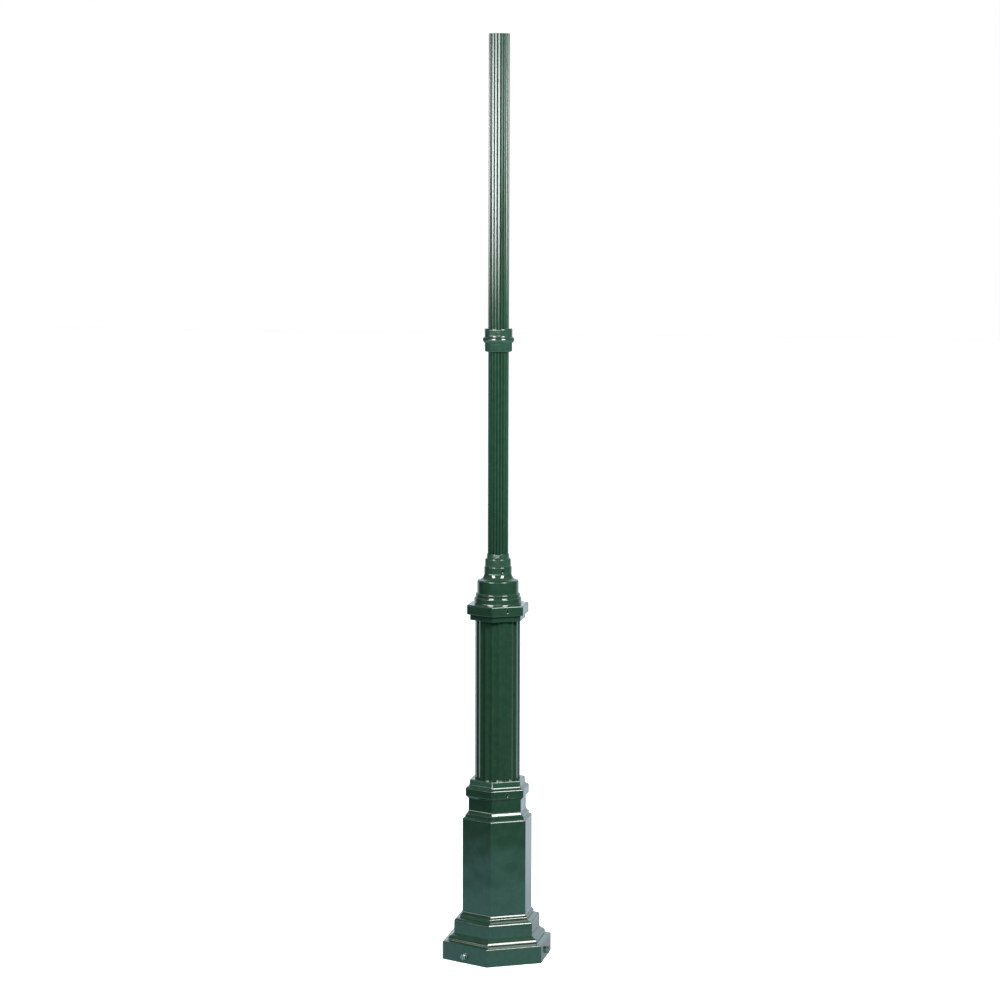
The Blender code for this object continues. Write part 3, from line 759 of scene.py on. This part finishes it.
# Soft light in front and behind. A rise is the sine of an elevation, and pairs are soft edges
PALE = (0.86, 0.97, 1.0)
FRONT_LOW = 0.03
FRONT_HIGH = 0.25
FRONT_EDGE = (-0.1, 0.6)
BACK_RIGHT = (radians(132), radians(158))
BACK_LEFT = (radians(-138), radians(-162))
BACK_SWING = 2.8
BACK_FLOOR_EDGE = (-0.25, -0.2)
BACK_LOW = 0.4
BACK_GLOW = (0.85, 1.0, 1.12)
BOUNCE_EDGE = (0.0, -0.2)
BOUNCE_GLOW = (0.28, 0.3, 0.3)

# What only the gloss mirrors: a bright wall and a dim one, two boxes overhead, the floor and a haze
WALL_SPAN = ((radians(-83), radians(-76)), (radians(8), radians(20)))
WALL_RISE = ((-0.058, -0.018), (0.0, 0.06))
WALL_GLOW = (22.0, 22.8, 22.6)
FAR_WALL_SPAN = ((radians(8), radians(20)), (radians(55), radians(95)))
FAR_WALL_RISE = ((-0.03, 0.0), (0.0, 0.06))
FAR_WALL_GLOW = (4.5, 5.2, 5.3)
BOX_SPAN = ((radians(24), radians(28)), (radians(50), radians(54)))
BOX_RISE = ((0.14, 0.2), (0.72, 0.78))
BOX_GLOW = (28.0, 28.0, 28.0)
IN_FRONT_EDGE = (radians(110), radians(130))
POOL_EDGE = (-0.2215, -0.199)
POOL_GLOW = (0.6, 1.25, 1.3)
HAZE_RISE = ((-0.13, -0.1), (-0.05, -0.03))
HAZE_GLOW = (0.25, 0.7, 0.5)

WHITE = (1.0, 1.0, 1.0)
FLOOR_REACH = 30
FLOOR_GLOW = 0.65


def camera():
    data = bpy.data.cameras.new("camera")
    data.lens = CAMERA_LENS
    data.sensor_width = 36
    data.clip_end = 100
    made = bpy.data.objects.new("camera", data)
    bpy.context.scene.collection.objects.link(made)
    place = TO_CAMERA * CAMERA_DISTANCE + UP * CAMERA_HEIGHT + TO_RIGHT * CAMERA_SIDE
    look = -TO_CAMERA * cos(CAMERA_TILT) - UP * sin(CAMERA_TILT)
    rise = UP * cos(CAMERA_TILT) - TO_CAMERA * sin(CAMERA_TILT)
    side = look.cross(rise)
    turn = Matrix((side, rise, -look)).transposed().to_4x4()
    made.matrix_world = Matrix.Translation(place) @ turn @ Matrix.Rotation(CAMERA_ROLL, 4, "Z")
    bpy.context.scene.camera = made


def fill_light(name, azimuth, power):
    """A square diffuse light that faces the post's middle, placed from the camera's side."""
    data = bpy.data.lights.new(name, "AREA")
    data.shape = "SQUARE"
    data.size = FILL_SIZE
    data.energy = power
    made = bpy.data.objects.new(name, data)
    bpy.context.scene.collection.objects.link(made)
    flat = TO_CAMERA * cos(azimuth) + TO_RIGHT * sin(azimuth)
    offset = flat * cos(FILL_ELEVATION) + UP * sin(FILL_ELEVATION)
    made.location = UP * POST_HEIGHT / 2 + offset * FILL_DISTANCE
    made.rotation_mode = "QUATERNION"
    made.rotation_quaternion = offset.to_track_quat("Z", "Y")
    made.visible_glossy = False


def fed(tree, socket, value):
    """Sets a socket to a number or a colour, or links it to another node's output."""
    if isinstance(value, bpy.types.NodeSocket):
        tree.links.new(value, socket)
    else:
        socket.default_value = value


def maths(tree, operation, first, second):
    node = tree.nodes.new("ShaderNodeMath")
    node.operation = operation
    fed(tree, node.inputs[0], first)
    fed(tree, node.inputs[1], second)
    return node.outputs["Value"]


def vectors(tree, operation, first, second):
    """A vector sum or dot product."""
    node = tree.nodes.new("ShaderNodeVectorMath")
    node.operation = operation
    fed(tree, node.inputs[0], first)
    fed(tree, node.inputs[1], second)
    return node.outputs["Value" if operation == "DOT_PRODUCT" else "Vector"]


def edge(tree, value, start, end, bottom=0.0, top=1.0):
    """A soft edge, from bottom at start to top at end."""
    node = tree.nodes.new("ShaderNodeMapRange")
    node.interpolation_type = "SMOOTHSTEP"
    node.inputs["From Min"].default_value = start
    node.inputs["From Max"].default_value = end
    node.inputs["To Min"].default_value = bottom
    node.inputs["To Max"].default_value = top
    tree.links.new(value, node.inputs["Value"])
    return node.outputs["Result"]


def band(tree, value, rising, falling):
    """One between two soft edges, each given as where it starts and ends."""
    return maths(tree, "MULTIPLY", edge(tree, value, *rising), edge(tree, value, *falling, 1.0, 0.0))


def patch(tree, across, upright, glow):
    """A soft-edged patch of light of this colour."""
    node = tree.nodes.new("ShaderNodeVectorMath")
    node.operation = "SCALE"
    node.inputs[0].default_value = glow
    tree.links.new(maths(tree, "MULTIPLY", across, upright), node.inputs["Scale"])
    return node.outputs["Vector"]


def switched(tree, factor, off, on):
    node = tree.nodes.new("ShaderNodeMix")
    node.data_type = "VECTOR"
    tree.links.new(factor, node.inputs["Factor"])
    fed(tree, node.inputs["A"], off)
    fed(tree, node.inputs["B"], on)
    return node.outputs["Result"]


def soft_light(tree, azimuth, rise):
    """A dim front and a bright back, whose edges swing forwards below the horizon."""
    swung = maths(tree, "MULTIPLY", maths(tree, "MINIMUM", rise, 0), BACK_SWING)
    right_back = edge(tree, maths(tree, "SUBTRACT", azimuth, swung), *BACK_RIGHT)
    left_back = edge(tree, maths(tree, "ADD", azimuth, swung), *BACK_LEFT)
    past_sides = maths(tree, "MAXIMUM", right_back, left_back)
    front = patch(tree, edge(tree, rise, *FRONT_EDGE, FRONT_LOW, FRONT_HIGH), 1.0, PALE)
    back = patch(tree, past_sides, edge(tree, rise, *BACK_FLOOR_EDGE, BACK_LOW, 1.0), BACK_GLOW)
    return vectors(tree, "ADD", front, back)


def mirrored_light(tree, azimuth, rise):
    """The sum of what only the gloss mirrors."""
    apart = maths(tree, "ABSOLUTE", azimuth, 0)
    in_front = edge(tree, apart, *IN_FRONT_EDGE, 1.0, 0.0)
    patches = (
        (band(tree, azimuth, *FAR_WALL_SPAN), band(tree, rise, *FAR_WALL_RISE), FAR_WALL_GLOW),
        (band(tree, apart, *BOX_SPAN), band(tree, rise, *BOX_RISE), BOX_GLOW),
        (in_front, edge(tree, rise, *POOL_EDGE, 1.0, 0.0), POOL_GLOW),
        (in_front, band(tree, rise, *HAZE_RISE), HAZE_GLOW),
    )
    total = patch(tree, band(tree, azimuth, *WALL_SPAN), band(tree, rise, *WALL_RISE), WALL_GLOW)
    for across, upright, glow in patches:
        total = vectors(tree, "ADD", total, patch(tree, across, upright, glow))
    return total


def world():
    """The studio: white to the camera, soft light on the paint and brighter things in its gloss."""
    made = bpy.data.worlds.new("studio")
    made.use_nodes = True
    bpy.context.scene.world = made
    tree = made.node_tree
    direction = tree.nodes.new("ShaderNodeTexCoord").outputs["Generated"]
    ray = tree.nodes.new("ShaderNodeLightPath").outputs
    rise = vectors(tree, "DOT_PRODUCT", direction, UP)
    to_right = vectors(tree, "DOT_PRODUCT", direction, TO_RIGHT)
    to_camera = vectors(tree, "DOT_PRODUCT", direction, TO_CAMERA)
    azimuth = maths(tree, "ARCTAN2", to_right, to_camera)
    soft = soft_light(tree, azimuth, rise)
    bounce = patch(tree, edge(tree, rise, *BOUNCE_EDGE), 1.0, BOUNCE_GLOW)
    lit = vectors(tree, "ADD", soft, bounce)
    mirrored = vectors(tree, "ADD", soft, mirrored_light(tree, azimuth, rise))
    seen = switched(tree, ray["Is Glossy Ray"], lit, mirrored)
    shown = switched(tree, ray["Is Camera Ray"], seen, WHITE)
    tree.links.new(shown, tree.nodes["Background"].inputs["Color"])


def floor():
    """A pale floor that runs into the white and neither lights the post nor shows in its gloss."""
    corners = [(-1, -1), (1, -1), (1, 1), (-1, 1)]
    points = [(x * FLOOR_REACH, y * FLOOR_REACH, 0) for x, y in corners]
    paint, _, shader = shader_of("pale_floor")
    shader.inputs["Base Color"].default_value = (0.9, 0.9, 0.9, 1)
    shader.inputs["Roughness"].default_value = 0.9
    shader.inputs["Emission Color"].default_value = (*WHITE, 1)
    shader.inputs["Emission Strength"].default_value = FLOOR_GLOW
    made = mesh_piece("floor", points, [(0, 1, 2, 3)], paint)
    made.visible_glossy = False
    made.visible_diffuse = False


base_casting()
lower_column()
reducer_casting()
tubes()
joint_collar()
set_screws()
for bolt_number, bolt_angle in enumerate(FOOT_BOLT_ANGLES, 1):
    foot_bolt(bolt_number, bolt_angle)
    foot_bolt_washer(bolt_number, bolt_angle)
kept_nodes()

camera()
for light_name, (light_azimuth, light_power) in FILLS.items():
    fill_light(light_name, light_azimuth, light_power)
world()
floor()
bpy.context.scene.view_settings.view_transform = "Standard"
